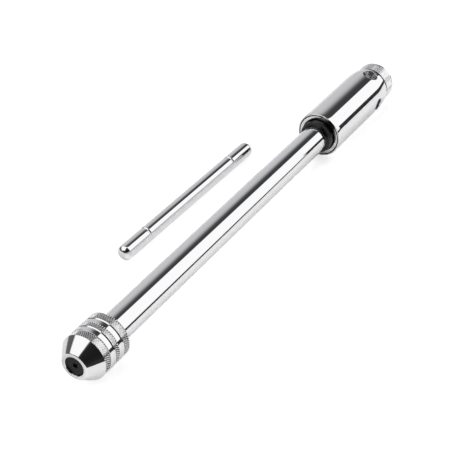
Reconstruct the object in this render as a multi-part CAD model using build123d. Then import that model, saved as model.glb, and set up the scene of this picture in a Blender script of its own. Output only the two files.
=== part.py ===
from build123d import *
from math import cos, degrees, radians, sin, sqrt, tan
import os

# A long tap wrench with a ratchet head, and its loose cross bar beside it on the floor.
# Sizes are in millimetres. X runs along the wrench from the nose face to the head, +Z is up,
# and the origin is the centre of the nose face. A "station" is a place along X.
# Angles round X are in degrees, counted from +Z towards +Y.

# Clearances, radial unless the name says otherwise
running_gap = 0.05
press_gap = 0.02
passing_gap = 0.3
end_gap = 0.1

# The whole wrench and its shaft
overall_length = 250.0
shaft_radius = 6.25

# Nose cap: three grip bands parted by two grooves, behind a polished cone
cap_length = 22.0
cap_wall = 1.0
cap_rear_chamfer = 0.4
nose_bore_radius = 4.17
nose_rim = 1.33
nose_edge = 0.4
cone_end = 6.2
cone_bulge = 0.12
groove_setback = 4.4
groove_pitch = 5.3
groove_width = 0.65
groove_depth = 0.35
cap_travel = 5.0

# Spindle
thread_step = 0.25
thread_runout = 0.9
relief_depth = 0.5
jaw_slot_runout = 1.9
wheel_seat_step = 1.25
pilot_step = 1.0
pilot_length = 5.0

# Jaws and the cone inside the cap that closes them
jaw_angle = 47.0
jaw_recess = 0.7
jaw_slope = 30.0
jaw_head_land = 2.03
jaw_split = 0.1
jaw_square = 1.8
jaw_square_depth = 12.3
jaw_tail_width = 6.2
jaw_spring_setback = 0.9
jaw_spring_offset = 1.8
jaw_spring_radius = 0.5
jaw_spring_floor = 0.7
jaw_spring_wire = 0.22

# Wire ring that keeps the cap on the spindle
stop_ring_setback = 1.7
stop_ring_width = 1.0
stop_ring_wall = 1.3
stop_ring_slit = 1.2

# Head sleeve
sleeve_length = 51.8
sleeve_wall = 1.3
sleeve_taper = 0.8
sleeve_taper_length = 9.2
sleeve_lip = 2.0
sleeve_lip_height = 1.0
sleeve_lip_recess = 0.6
sleeve_front_round = 0.55
sleeve_rear_round = 0.15

# Black bush in the front of the sleeve
bush_stand_out = 3.4
bush_wall = 1.3
bush_round = 0.6
washer_thickness = 0.7
washer_room = 0.3

# Ratchet wheel: face teeth parted by straight slots
wheel_length = 10.0
wheel_gap = 1.0
wheel_teeth = 12
tooth_slot_width = 2.1
tooth_depth = 1.6
wheel_pin_setback = 4.0
wheel_pin_radius = 1.25

# Cross bores for the bar, right through the head
bar_bore_radius = 3.5
bore_edge_round = 0.5
bore_rear_wall = 1.3
bore_step = 1.4
upper_bore_angle = -15.0
lower_bore_angle = -105.0

# Pawls: two plungers that lie between the cross bores
pawl_inset = 2.0
pawl_right_angle = -60.0
pawl_left_angle = 120.0
pawl_radius = 1.5
pawl_blade = 1.8
pawl_blade_length = 2.1
pawl_bevel = 1.2
pawl_body_length = 5.0
pawl_stem_radius = 0.7
pawl_head_radius = 1.35
pawl_head_thickness = 0.9
pawl_tip_gap = 0.3
pawl_guide_depth = 8.5
pawl_spring_wire = 0.32

# Selector: knurled cap with the cam ring pressed inside, on a spigot behind the core
selector_length = 7.5
selector_gap = 0.3
selector_step = 0.45
selector_edge_round = 0.8
selector_wall = 0.65
selector_end_wall = 1.0
selector_swing = 60.0
spigot_radius = 4.4
spigot_tail = 1.7
cam_plate = 1.2
cam_rise = 1.8
cam_step = 10.0
cam_landing = 14.0
cam_follow_gap = 0.45
stem_slot_gap = 0.15
slot_overrun = 1.0
snap_ring_height = 0.7
snap_ring_thickness = 0.7
snap_groove_depth = 0.55
snap_ring_slit = 1.2
selector_ball_radius = 0.9
dimple_radius = 0.5
dimple_depth = 0.35
selector_ball_angle = 30.0
selector_spring_length = 1.9
selector_spring_wire = 0.25

# Turns of each spring
spring_turns = 3

# Spring ball that holds the cross bar in the lower bore
detent_ball_radius = 1.5
detent_plug_thickness = 1.0
detent_spring_length = 2.7
detent_spring_wire = 0.3

# Cross bar, where it lies on the floor
bar_slack = 0.1
bar_length = 100.0
bar_end_round = 2.4
bar_groove_spacing = 66.0
bar_groove_width = 1.5
bar_groove_depth = 0.3
bar_centre = (124.2, 29.0)
bar_heading = -1.09


# Spindle, cap and jaws: each radius follows from the one inside it, each station from the cap
thread_radius = shaft_radius - thread_step
relief_radius = thread_radius - relief_depth
thread_bore_radius = thread_radius + running_gap
cap_rear_bore_radius = shaft_radius + running_gap
wheel_seat_radius = shaft_radius - wheel_seat_step
pilot_radius = wheel_seat_radius - pilot_step
stop_ring_radius = relief_radius + end_gap + stop_ring_wall
stop_ring_station = cap_length - stop_ring_setback
relief_start = stop_ring_station - cap_travel - 2 * end_gap
relief_end = stop_ring_station + stop_ring_width + 2 * end_gap
cap_thread_end = relief_start + thread_runout
jaw_slope_rate = tan(radians(jaw_slope))
jaw_travel = cap_travel * jaw_slope_rate
jaw_radius = thread_radius - end_gap
jaw_front_radius = nose_bore_radius - end_gap
jaw_cone_end = jaw_recess + (jaw_radius - jaw_front_radius) / jaw_slope_rate
jaw_head_end = jaw_cone_end + jaw_head_land
spindle_end = jaw_head_end + end_gap
cavity_end = spindle_end + cap_travel + end_gap
jaw_tail_end = relief_start
jaw_slot_end = jaw_tail_end + jaw_slot_runout
jaw_square_end = jaw_recess + jaw_square_depth
jaw_tail_reach = sqrt((thread_bore_radius - end_gap) ** 2 - (jaw_tail_width / 2) ** 2)
jaw_tail_depth = jaw_tail_reach - jaw_travel
jaw_spring_station = jaw_tail_end - jaw_spring_setback
jaw_spring_depth = jaw_tail_depth - jaw_spring_floor
cap_cavity_radius = jaw_radius + jaw_travel + end_gap
cap_radius = cap_cavity_radius + cap_wall
nose_face_radius = nose_bore_radius + nose_rim
groove_stations = [cap_length - groove_setback - step * groove_pitch for step in (0, 1)]

# Head: each radius follows from the shaft outwards, and each station from the selector forwards
bush_bore_radius = shaft_radius + running_gap
bush_collar_radius = bush_bore_radius + bush_wall
sleeve_lip_radius = bush_collar_radius + sleeve_lip_recess
sleeve_bore_radius = sleeve_lip_radius + sleeve_lip_height
sleeve_radius = sleeve_bore_radius + sleeve_wall
sleeve_rear_radius = sleeve_radius - sleeve_taper
core_radius = sleeve_bore_radius - press_gap
wheel_radius = sleeve_bore_radius - passing_gap
pawl_reach = wheel_radius - pawl_inset
selector_front = overall_length - selector_length
sleeve_rear = selector_front - selector_gap
sleeve_front = sleeve_rear - sleeve_length
sleeve_taper_start = sleeve_rear - sleeve_taper_length
upper_bore_station = sleeve_rear - bore_rear_wall - bar_bore_radius
lower_bore_station = upper_bore_station - bar_bore_radius - bore_step
detent_ball_station = lower_bore_station - bar_bore_radius - detent_ball_radius
detent_spring_start = detent_ball_station - detent_ball_radius - detent_spring_length
detent_plug_start = detent_spring_start - detent_plug_thickness
pilot_end = detent_plug_start - passing_gap
core_front = pilot_end - pilot_length
pawl_guide_end = core_front + pawl_guide_depth
wheel_rear = core_front - wheel_gap
wheel_front = wheel_rear - wheel_length
wheel_pin_station = wheel_front + wheel_pin_setback
bush_front = sleeve_front - bush_stand_out
bush_rear = wheel_front - washer_thickness - washer_room

# Selector and spigot
selector_radius = sleeve_rear_radius - selector_step
selector_bore_radius = selector_radius - selector_wall
cam_front = selector_front + end_gap
cam_rear = cam_front + cam_plate
snap_ring_radius = spigot_radius + snap_ring_height
snap_groove_radius = spigot_radius - snap_groove_depth
snap_groove_start = cam_rear + end_gap
snap_groove_end = snap_groove_start + snap_ring_thickness + 2 * end_gap
spigot_end = snap_groove_end + spigot_tail
cam_inner_radius = snap_ring_radius + 2 * end_gap
cam_outer_radius = selector_bore_radius - end_gap
selector_spring_start = cam_front - end_gap - 2 * selector_ball_radius - selector_spring_length
bar_radius = bar_bore_radius - bar_slack
floor = -max(sleeve_radius, cap_radius)


def outline(*points):
    """Straight edges through points given as (station, radius)."""
    return Polyline(*points)


def turned(*edges):
    """The solid that a closed outline sweeps when it turns about the wrench's axis."""
    return revolve(Plane.XZ * make_face(Curve() + list(edges)), Axis.X)


def ring(start, end, outer, inner=0.0):
    """A disc or tube about the wrench's axis."""
    section = Circle(outer) - Circle(inner) if inner else Circle(outer)
    return Plane.YZ.offset(start) * extrude(section, end - start)


def spun(angle):
    """The turn about X that takes +Z to the given angle."""
    return Rot(X=-angle)


def out_from_axis(angle, reach):
    """The move that carries a piece on the axis out to a reach at an angle."""
    return Pos(0, reach * sin(radians(angle)), reach * cos(radians(angle)))


def cross_rod(station, angle, radius, low, high):
    """A round rod square to the axis, from one height to another along its angle."""
    return spun(angle) * Pos(station, 0, low) * extrude(Circle(radius), high - low)


def coil(radius, wire, turns, length):
    """A compression spring along +Z from the origin, in square wire."""
    path = Helix(pitch=(length - wire) / turns, height=length - wire, radius=radius)
    section = Plane(origin=path @ 0, z_dir=path % 0) * Rectangle(wire, wire)
    return Pos(0, 0, wire / 2) * sweep(section, path=path, is_frenet=True)


def along_x(start):
    """The move that lays a piece made along +Z on the X axis, from a station."""
    return Pos(start, 0, 0) * Rot(Y=90)


def make_chuck_cap():
    """Nose cap: outer cone, bands and grooves, inner cone, thread bore and ring groove."""
    cone_middle = (
        (nose_edge + cone_end) / 2,
        (nose_face_radius + nose_edge + cap_radius) / 2 + cone_bulge,
    )
    cone_inner_end = jaw_recess + (cap_cavity_radius - nose_bore_radius) / jaw_slope_rate
    cap = turned(
        outline((0, nose_bore_radius), (0, nose_face_radius)),
        Line((0, nose_face_radius), (nose_edge, nose_face_radius + nose_edge)),
        ThreePointArc((nose_edge, nose_face_radius + nose_edge), cone_middle, (cone_end, cap_radius)),
        outline(
            (cone_end, cap_radius),
            (cap_length - cap_rear_chamfer, cap_radius),
            (cap_length, cap_radius - cap_rear_chamfer),
            (cap_length, cap_rear_bore_radius),
            (cap_thread_end, cap_rear_bore_radius),
            (cap_thread_end, thread_bore_radius),
            (cavity_end, thread_bore_radius),
            (cavity_end, cap_cavity_radius),
            (cone_inner_end, cap_cavity_radius),
            (jaw_recess, nose_bore_radius),
            (0, nose_bore_radius),
        ),
    )
    for station in groove_stations:
        start = station - groove_width / 2
        cap -= ring(start, start + groove_width, cap_radius + 1, cap_radius - groove_depth)
    ring_groove = ring(
        stop_ring_station - running_gap,
        stop_ring_station + stop_ring_width + running_gap,
        stop_ring_radius + end_gap,
        relief_radius,
    )
    return cap - ring_groove


def make_jaw(angle):
    """One jaw: half a cone at the front, a flat tail behind, and a V notch down the middle."""
    head = turned(
        outline(
            (jaw_recess, 0),
            (jaw_recess, jaw_front_radius),
            (jaw_cone_end, jaw_radius),
            (jaw_head_end, jaw_radius),
            (jaw_head_end, 0),
            (jaw_recess, 0),
        )
    )
    tail_length = jaw_tail_end - jaw_cone_end
    tail = Pos(jaw_cone_end + tail_length / 2, 0, 0) * Box(
        tail_length, jaw_tail_width, 2 * jaw_tail_depth
    )
    own_half = Pos(0, 0, jaw_split / 2) * Box(
        4 * cap_length, 4 * cap_radius, 4 * cap_radius, align=(Align.CENTER, Align.CENTER, Align.MIN)
    )
    square = Plane.YZ.offset(jaw_recess) * extrude(
        Rot(Z=45) * Rectangle(jaw_square, jaw_square), jaw_square_end - jaw_recess
    )
    jaw = (head + tail) & own_half
    jaw -= square
    for side in (-1, 1):
        seat = Pos(jaw_spring_station, side * jaw_spring_offset, 0)
        jaw -= seat * extrude(Circle(jaw_spring_radius + running_gap), jaw_spring_depth + jaw_split / 2)
    return spun(angle) * jaw


def make_jaw_spring(side):
    """Small spring between the two jaw tails."""
    length = 2 * jaw_spring_depth
    radius = jaw_spring_radius - jaw_spring_wire / 2
    spring = coil(radius, jaw_spring_wire, spring_turns, length)
    return spun(jaw_angle) * Pos(jaw_spring_station, side * jaw_spring_offset, -length / 2) * spring


def make_spindle():
    """Spindle: slotted threaded end, long shaft, wheel seat and rear pilot."""
    spindle = turned(
        outline(
            (spindle_end, 0),
            (spindle_end, thread_radius),
            (relief_start, thread_radius),
            (relief_start, relief_radius),
            (relief_end, relief_radius),
            (relief_end, shaft_radius),
            (wheel_front, shaft_radius),
            (wheel_front, wheel_seat_radius),
            (wheel_rear, wheel_seat_radius),
            (wheel_rear, pilot_radius),
            (pilot_end, pilot_radius),
            (pilot_end, 0),
            (spindle_end, 0),
        )
    )
    slot_length = jaw_slot_end - spindle_end
    jaw_slot = Pos(spindle_end + slot_length / 2, 0, 0) * Box(
        slot_length, jaw_tail_width + 2 * end_gap, 3 * thread_radius
    )
    spindle -= spun(jaw_angle) * jaw_slot
    pin_hole = wheel_pin_radius + press_gap
    return spindle - cross_rod(wheel_pin_station, 0, pin_hole, -wheel_radius, wheel_radius)


def make_stop_ring():
    """Split ring that sits in the cap's groove and catches the end of the spindle's thread."""
    hoop = ring(
        stop_ring_station,
        stop_ring_station + stop_ring_width,
        stop_ring_radius,
        relief_radius + end_gap,
    )
    slit = Pos(stop_ring_station, 0, -stop_ring_radius) * Box(
        4 * stop_ring_width, stop_ring_slit, stop_ring_radius
    )
    return hoop - slit


def make_ratchet_wheel():
    """Wheel pinned to the spindle, with face teeth left between straight radial slots."""
    wheel = ring(wheel_front, wheel_rear, wheel_radius, wheel_seat_radius + press_gap)
    slot = Pos(wheel_rear, 0, wheel_radius) * Box(
        2 * tooth_depth, tooth_slot_width, 2 * (wheel_radius - wheel_seat_radius) + 1
    )
    for tooth in range(wheel_teeth):
        wheel -= spun(pawl_right_angle + tooth * 360 / wheel_teeth) * slot
    pin_hole = wheel_pin_radius + press_gap
    return wheel - cross_rod(wheel_pin_station, 0, pin_hole, -2 * wheel_radius, 2 * wheel_radius)


def make_wheel_pin():
    """Cross pin through the wheel and the spindle."""
    reach = wheel_radius - passing_gap
    return cross_rod(wheel_pin_station, 0, wheel_pin_radius, -reach, reach)


def cross_bores():
    """The two round holes for the cross bar, right through the head."""
    reach = 2 * sleeve_radius
    upper = cross_rod(upper_bore_station, upper_bore_angle, bar_bore_radius, -reach, reach)
    lower = cross_rod(lower_bore_station, lower_bore_angle, bar_bore_radius, -reach, reach)
    return upper, lower


def make_sleeve():
    """Outer tube of the head, with a lip at the front and rounded mouths at the cross bores."""
    tube = turned(
        outline(
            (sleeve_rear, sleeve_rear_radius),
            (sleeve_rear, sleeve_bore_radius),
            (sleeve_front + sleeve_lip, sleeve_bore_radius),
            (sleeve_front + sleeve_lip, sleeve_lip_radius),
            (sleeve_front, sleeve_lip_radius),
            (sleeve_front, sleeve_radius),
            (sleeve_taper_start, sleeve_radius),
        ),
        TangentArc(
            (sleeve_taper_start, sleeve_radius), (sleeve_rear, sleeve_rear_radius), tangent=(1, 0)
        ),
    )
    circles = tube.edges().filter_by(GeomType.CIRCLE)
    front_edge = circles.filter_by(lambda e: abs(e.radius - sleeve_radius) < 0.01).sort_by(Axis.X)[0]
    tube = fillet(front_edge, sleeve_front_round)
    circles = tube.edges().filter_by(GeomType.CIRCLE)
    rear_edge = circles.filter_by(lambda e: abs(e.radius - sleeve_rear_radius) < 0.01).sort_by(Axis.X)[-1]
    tube = fillet(rear_edge, sleeve_rear_round)
    known = tube.edges()
    for bore in cross_bores():
        tube -= bore
    wall_middle = (sleeve_radius + sleeve_bore_radius) / 2

    def on_outside(edge):
        point = edge @ 0.5
        return (point.Y**2 + point.Z**2) ** 0.5 > wall_middle

    mouths = [e for e in tube.edges() if e not in known and on_outside(e)]
    mouths = [e for e in mouths if e.bounding_box().size.X > 0.2 and e.geom_type != GeomType.CIRCLE]
    return fillet(mouths, bore_edge_round)


def make_front_bush():
    """Black bush: a collar that stands out of the sleeve and a body held behind its lip."""
    bore = bush_bore_radius
    shoulder = sleeve_front + sleeve_lip + running_gap
    return turned(
        outline((bush_front, bore), (bush_front, bush_collar_radius - bush_round)),
        RadiusArc(
            (bush_front, bush_collar_radius - bush_round),
            (bush_front + bush_round, bush_collar_radius),
            bush_round,
        ),
        outline(
            (bush_front + bush_round, bush_collar_radius),
            (shoulder, bush_collar_radius),
            (shoulder, sleeve_bore_radius - press_gap),
            (bush_rear, sleeve_bore_radius - press_gap),
            (bush_rear, bore),
            (bush_front, bore),
        ),
    )


def make_thrust_washer():
    """Washer between the bush and the ratchet wheel."""
    start = bush_rear + running_gap
    return ring(start, start + washer_thickness, wheel_radius, shaft_radius + end_gap)


def make_head_core():
    """Core of the head: pilot bore, cross bores, pawl guides, spring seats and spigot."""
    core = ring(core_front, sleeve_rear, core_radius)
    core += ring(sleeve_rear, spigot_end, spigot_radius)
    core -= ring(core_front, detent_plug_start, pilot_radius + running_gap)
    detent_hole = detent_ball_radius + running_gap
    core -= ring(pilot_end, lower_bore_station, detent_hole)
    for bore in cross_bores():
        core -= bore
    for angle in (pawl_right_angle, pawl_left_angle):
        move = out_from_axis(angle, pawl_reach)
        core -= move * ring(core_front, pawl_guide_end, pawl_radius + running_gap)
        core -= move * ring(core_front, sleeve_rear, pawl_stem_radius + running_gap)
    ball_seat = ring(selector_spring_start, sleeve_rear, selector_ball_radius + running_gap)
    core -= out_from_axis(selector_ball_angle, pawl_reach) * ball_seat
    return core - ring(snap_groove_start, snap_groove_end, 2 * spigot_radius, snap_groove_radius)


def make_pawl(angle, lift, bevel_side):
    """Plunger pawl: bevelled blade, guided body, thin stem and a head that rides on the cam."""
    tip = wheel_rear - tooth_depth + pawl_tip_gap + lift
    body_start = tip + pawl_blade_length
    body_end = body_start + pawl_body_length
    head_start = cam_rear + cam_follow_gap + lift
    blade = ring(tip, body_start, pawl_radius) & Pos((tip + body_start) / 2, 0, 0) * Box(
        pawl_blade_length, pawl_blade, 2 * pawl_radius
    )
    bevel_face = Polyline(
        (tip, -bevel_side * pawl_blade / 2),
        (tip + pawl_bevel, bevel_side * pawl_blade / 2),
        (tip, bevel_side * pawl_blade / 2),
        close=True,
    )
    blade -= extrude(make_face(bevel_face), pawl_radius, both=True)
    pawl = blade
    pawl += ring(body_start, body_end, pawl_radius)
    pawl += ring(body_end, head_start + pawl_head_thickness, pawl_stem_radius)
    pawl += ring(head_start, head_start + pawl_head_thickness, pawl_head_radius)
    return spun(angle) * Pos(0, 0, pawl_reach) * pawl


def make_pawl_spring(angle, lift):
    """Spring round the pawl's stem, between its body and the end of its guide."""
    start = wheel_rear - tooth_depth + pawl_tip_gap + lift + pawl_blade_length + pawl_body_length
    room = pawl_radius - pawl_stem_radius
    radius = pawl_stem_radius + room / 2 + running_gap
    spring = coil(radius, pawl_spring_wire, spring_turns, pawl_guide_end - start)
    return out_from_axis(angle, pawl_reach) * along_x(start) * spring


def make_selector_cap():
    """Knurled end cap of the head, open at the front."""
    cap = ring(selector_front, overall_length, selector_radius)
    rear_edge = cap.edges().filter_by(GeomType.CIRCLE).sort_by(Axis.X)[-1]
    cap = fillet(rear_edge, selector_edge_round)
    return cap - ring(selector_front, overall_length - selector_end_wall, selector_bore_radius)


def cam_section(angle, height):
    """Section of a ramp at an angle, standing on the cam ring's plate."""
    root = cam_rear - cam_plate / 2
    middle = ((root + cam_rear + height) / 2, (cam_inner_radius + cam_outer_radius) / 2)
    size = (cam_rear + height - root, cam_outer_radius - cam_inner_radius)
    return spun(angle) * (Plane.XZ * Pos(*middle) * Rectangle(*size))


def cam_sector(start_angle, end_angle, start, end, outer, inner):
    """Part of a tube about the axis, between two angles."""
    section = Plane.XZ * Pos((start + end) / 2, (outer + inner) / 2) * Rectangle(end - start, outer - inner)
    return revolve(spun(end_angle) * section, Axis.X, end_angle - start_angle)


def make_cam_ring():
    """Cam ring: a plate with two helical ramps, slots for the pawl stems and ball dimples."""
    inner = spigot_radius + running_gap
    cam = ring(cam_front, cam_rear, selector_bore_radius - press_gap, inner)
    for stop in (0, selector_swing / 2, selector_swing):
        dimple = ring(cam_front - end_gap, cam_front + dimple_depth, dimple_radius)
        cam -= out_from_axis(selector_ball_angle - stop, pawl_reach) * dimple
    steps = round(selector_swing / cam_step)
    ramps = (
        (pawl_right_angle, -1, pawl_right_angle - selector_swing),
        (pawl_left_angle - selector_swing, 1, pawl_left_angle),
    )
    for low_angle, way, high_angle in ramps:
        sections = []
        for step in range(steps + 1):
            share = step / steps
            sections.append(cam_section(low_angle + way * share * selector_swing, share * cam_rise))
        sections.append(cam_section(high_angle + way * cam_landing, cam_rise))
        cam += loft(sections, ruled=True)
    slot_half = pawl_stem_radius + stem_slot_gap
    overrun = degrees(slot_half / pawl_reach) + slot_overrun
    for low_angle, way, high_angle in ramps:
        start, end = sorted((low_angle, high_angle))
        cam -= cam_sector(
            start - overrun,
            end + overrun,
            cam_front - 1,
            cam_rear + cam_rise + 1,
            pawl_reach + slot_half,
            pawl_reach - slot_half,
        )
    return cam


def make_snap_ring():
    """Split ring on the spigot, behind the cam ring."""
    start = snap_groove_start + end_gap
    hoop = ring(start, start + snap_ring_thickness, snap_ring_radius, snap_groove_radius + running_gap)
    slit = Pos(start, 0, -snap_ring_radius) * Box(
        4 * snap_ring_thickness, snap_ring_slit, snap_ring_radius
    )
    return hoop - slit


def make_selector_ball():
    """Ball that clicks into the cam ring's dimples, drawn pressed in."""
    centre = cam_front - end_gap - selector_ball_radius
    return out_from_axis(selector_ball_angle, pawl_reach) * Pos(centre, 0, 0) * Sphere(selector_ball_radius)


def make_selector_spring():
    """Spring behind the selector's ball."""
    radius = selector_ball_radius - selector_spring_wire
    spring = coil(radius, selector_spring_wire, spring_turns, selector_spring_length)
    return out_from_axis(selector_ball_angle, pawl_reach) * along_x(selector_spring_start) * spring


def make_detent_ball():
    """Ball that snaps into the cross bar's grooves, drawn flush with the lower bore's wall."""
    return Pos(detent_ball_station, 0, 0) * Sphere(detent_ball_radius)


def make_detent_plug():
    """Plug that backs the ball's spring."""
    return ring(detent_plug_start, detent_spring_start, detent_ball_radius)


def make_detent_spring():
    """Spring between the plug and the ball."""
    radius = detent_ball_radius - detent_spring_wire
    spring = coil(radius, detent_spring_wire, spring_turns, detent_spring_length)
    return along_x(detent_spring_start) * spring


def make_tee_bar():
    """Cross bar with domed ends and a shallow round groove near each end."""
    bar = Pos(-bar_length / 2, 0, 0) * ring(0, bar_length, bar_radius)
    ends = bar.edges().filter_by(GeomType.CIRCLE)
    bar = fillet(ends, bar_end_round)
    groove_round = (bar_groove_width**2 / 4 + bar_groove_depth**2) / (2 * bar_groove_depth)
    for side in (-1, 1):
        station = side * bar_groove_spacing / 2
        section = Plane.XZ * Pos(station, bar_radius - bar_groove_depth + groove_round) * Circle(groove_round)
        bar -= revolve(section, Axis.X)
    return Pos(*bar_centre, floor + bar_radius) * Rot(Z=bar_heading) * bar


parts = {
    "spindle": make_spindle(),
    "ratchet_wheel": make_ratchet_wheel(),
    "wheel_pin": make_wheel_pin(),
    "cap_stop_ring": make_stop_ring(),
    "chuck_cap": make_chuck_cap(),
    "jaw_a": make_jaw(jaw_angle),
    "jaw_b": make_jaw(jaw_angle + 180),
    "jaw_spring_a": make_jaw_spring(-1),
    "jaw_spring_b": make_jaw_spring(1),
    "sleeve": make_sleeve(),
    "head_core": make_head_core(),
    "front_bush": make_front_bush(),
    "thrust_washer": make_thrust_washer(),
    "pawl_right": make_pawl(pawl_right_angle, 0.0, 1),
    "pawl_left": make_pawl(pawl_left_angle, cam_rise, -1),
    "pawl_spring_right": make_pawl_spring(pawl_right_angle, 0.0),
    "pawl_spring_left": make_pawl_spring(pawl_left_angle, cam_rise),
    "selector_cap": make_selector_cap(),
    "cam_ring": make_cam_ring(),
    "selector_snap_ring": make_snap_ring(),
    "selector_ball": make_selector_ball(),
    "selector_spring": make_selector_spring(),
    "detent_ball": make_detent_ball(),
    "detent_plug": make_detent_plug(),
    "detent_spring": make_detent_spring(),
    "tee_bar": make_tee_bar(),
}

os.makedirs("parts", exist_ok=True)
for name, shape in parts.items():
    export_step(shape, f"parts/{name}.step")
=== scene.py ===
import math

import bmesh
import bpy
import numpy as np
from mathutils import Matrix, Vector


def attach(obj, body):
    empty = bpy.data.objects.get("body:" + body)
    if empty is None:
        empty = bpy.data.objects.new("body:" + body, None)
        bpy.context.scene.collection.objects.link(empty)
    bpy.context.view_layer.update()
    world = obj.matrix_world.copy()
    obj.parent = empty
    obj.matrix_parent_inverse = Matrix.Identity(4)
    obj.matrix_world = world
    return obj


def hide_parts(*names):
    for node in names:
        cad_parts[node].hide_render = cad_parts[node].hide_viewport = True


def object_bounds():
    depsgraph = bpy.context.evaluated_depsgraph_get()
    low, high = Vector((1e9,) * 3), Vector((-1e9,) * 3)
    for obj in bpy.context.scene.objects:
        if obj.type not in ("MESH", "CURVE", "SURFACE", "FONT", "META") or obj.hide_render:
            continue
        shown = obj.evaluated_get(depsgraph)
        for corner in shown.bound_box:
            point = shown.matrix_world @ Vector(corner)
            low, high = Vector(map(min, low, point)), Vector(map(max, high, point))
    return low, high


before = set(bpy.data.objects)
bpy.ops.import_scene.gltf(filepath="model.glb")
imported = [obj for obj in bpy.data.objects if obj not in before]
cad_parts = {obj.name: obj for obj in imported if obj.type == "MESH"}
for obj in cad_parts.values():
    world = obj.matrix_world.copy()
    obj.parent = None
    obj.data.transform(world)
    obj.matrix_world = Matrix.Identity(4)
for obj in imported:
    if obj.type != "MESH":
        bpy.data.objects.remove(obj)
cad_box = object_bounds()

# Camera. It looks down at the wrench from the nose end, about 35 degrees above the table, with
# the wrench running away to the upper right. The lens is a long one, which keeps the shaft's
# sides nearly parallel.
MM = 0.001
SENSOR_WIDTH = 36.0
PHOTO_WIDTH = 450.0
FOCAL_PIXELS = 1423.06
CAMERA_PLACE = (-311.7, -251.0, 337.9)
CLIP_START = 0.01
view_right = Vector((0.51420, -0.85767, 0.0))
view_up = Vector((0.48882, 0.29307, 0.82168))
view_turn = Matrix((view_right, view_up, view_right.cross(view_up))).transposed()
camera = bpy.data.objects.new("camera", bpy.data.cameras.new("camera"))
camera.data.sensor_width = SENSOR_WIDTH
camera.data.lens = FOCAL_PIXELS * SENSOR_WIDTH / PHOTO_WIDTH
camera.data.clip_start = CLIP_START
camera.matrix_world = Matrix.Translation(Vector(CAMERA_PLACE) * MM) @ view_turn.to_4x4()
bpy.context.collection.objects.link(camera)
bpy.context.scene.camera = camera
bpy.context.scene.view_settings.view_transform = "Standard"


# Light tent. The wrench lies in a soft tent of panels, which chrome shows as bands along the tool:
# a white one on the near right, a dark gap overhead and a grey one on the far left. The cone
# looks back to the tent's black open end, and domed ends also to the dark opening for the lens.
TURN = 360.0
SIDE_PANEL = (
    (-88.5, 0.04), (-86.5, 0.04), (6.0, 0.052), (13.0, 0.085), (19.0, 0.145), (25.0, 0.27),
    (31.0, 0.40), (37.0, 0.50), (43.0, 0.545), (50.0, 0.60), (60.0, 0.62), (88.0, 0.62), (92.0, 0.68),
)
SIDE_PANEL_COOL = 1.03
NEAR_PANEL = ((-88.5, 0.04), (-87.5, 1.12))
OPEN_END = (
    (-100.0, 0.02), (-62.0, 0.012), (-17.0, 0.018), (-8.0, 0.05), (-3.0, 1.12), (57.0, 1.12),
    (63.0, 0.10), (88.0, 0.14), (94.0, 0.45), (100.0, 0.60),
)
OPEN_END_STARTS = (0.30, 0.18)
GAP_EDGE = -14.0
GAP_SKEW = -36.0
GAP_SOFT = 1.5
SKEW_CENTRE = 0.711
BEHIND_LENS = (-0.77, -0.85)
BEHIND_LENS_LEVEL = 0.02


def put(tree, kind, settings=None, inputs=None, links=None, stops=()):
    """Adds one node. Settings are its own values, inputs its sockets' values, links its sockets'
    sources, each written as (node, output), and stops a ramp's (place, colour) pairs."""
    node = tree.nodes.new(kind)
    for key, value in (settings or {}).items():
        setattr(node, key, value)
    for key, value in (inputs or {}).items():
        node.inputs[key].default_value = value
    for key, (source, output) in (links or {}).items():
        tree.links.new(source.outputs[output], node.inputs[key])
    for _ in stops[2:]:
        node.color_ramp.elements.new(0.5)
    for number, (place, colour) in enumerate(stops):
        node.color_ramp.elements[number].position = place
        node.color_ramp.elements[number].color = colour
    return node


def along(place, span):
    """Where a place lies, from 0 to 1, on a span that is centred on nought."""
    return place / span + 0.5


def grey_stops(levels, span, cool=1.0):
    """A ramp's stops from (place, grey level) pairs. Cool lifts the blue a little."""
    return [(along(place, span), (level, level, level * cool, 1.0)) for place, level in levels]


def emptied(owner):
    """The node tree of a world or a material, with no nodes in it."""
    owner.use_nodes = True
    owner.node_tree.nodes.clear()
    return owner.node_tree


world = bpy.data.worlds.new("light_tent")
bpy.context.scene.world = world
tree = emptied(world)
towards = put(tree, "ShaderNodeTexCoord")
split = put(tree, "ShaderNodeSeparateXYZ", links={0: (towards, "Generated")})
from_top = put(tree, "ShaderNodeMath", {"operation": "ARCTAN2"}, links={0: (split, "Y"), 1: (split, "Z")})
share = put(tree, "ShaderNodeMapRange", inputs={"From Min": -math.pi, "From Max": math.pi},
            links={"Value": (from_top, 0)})
side_panel = put(tree, "ShaderNodeValToRGB", links={0: (share, 0)},
                 stops=grey_stops(SIDE_PANEL, TURN, SIDE_PANEL_COOL))
near_panel = put(tree, "ShaderNodeValToRGB", links={0: (share, 0)}, stops=grey_stops(NEAR_PANEL, TURN))
open_end = put(tree, "ShaderNodeValToRGB", links={0: (share, 0)}, stops=grey_stops(OPEN_END, TURN))
skew = put(tree, "ShaderNodeMapRange", {"clamp": False},
           {"From Min": SKEW_CENTRE, "From Max": SKEW_CENTRE + 1.0,
            "To Min": along(GAP_EDGE, TURN), "To Max": along(GAP_EDGE + GAP_SKEW, TURN)},
           {"Value": (split, "X")})
past_edge = put(tree, "ShaderNodeMath", {"operation": "SUBTRACT"}, links={0: (skew, 0), 1: (share, 0)})
edge = put(tree, "ShaderNodeMapRange", {"interpolation_type": "SMOOTHSTEP"},
           {"From Min": -GAP_SOFT / TURN, "From Max": GAP_SOFT / TURN}, {"Value": (past_edge, 0)})
head_side = put(tree, "ShaderNodeMix", {"data_type": "RGBA"},
                links={0: (edge, 0), 6: (side_panel, 0), 7: (near_panel, 0)})
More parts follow.
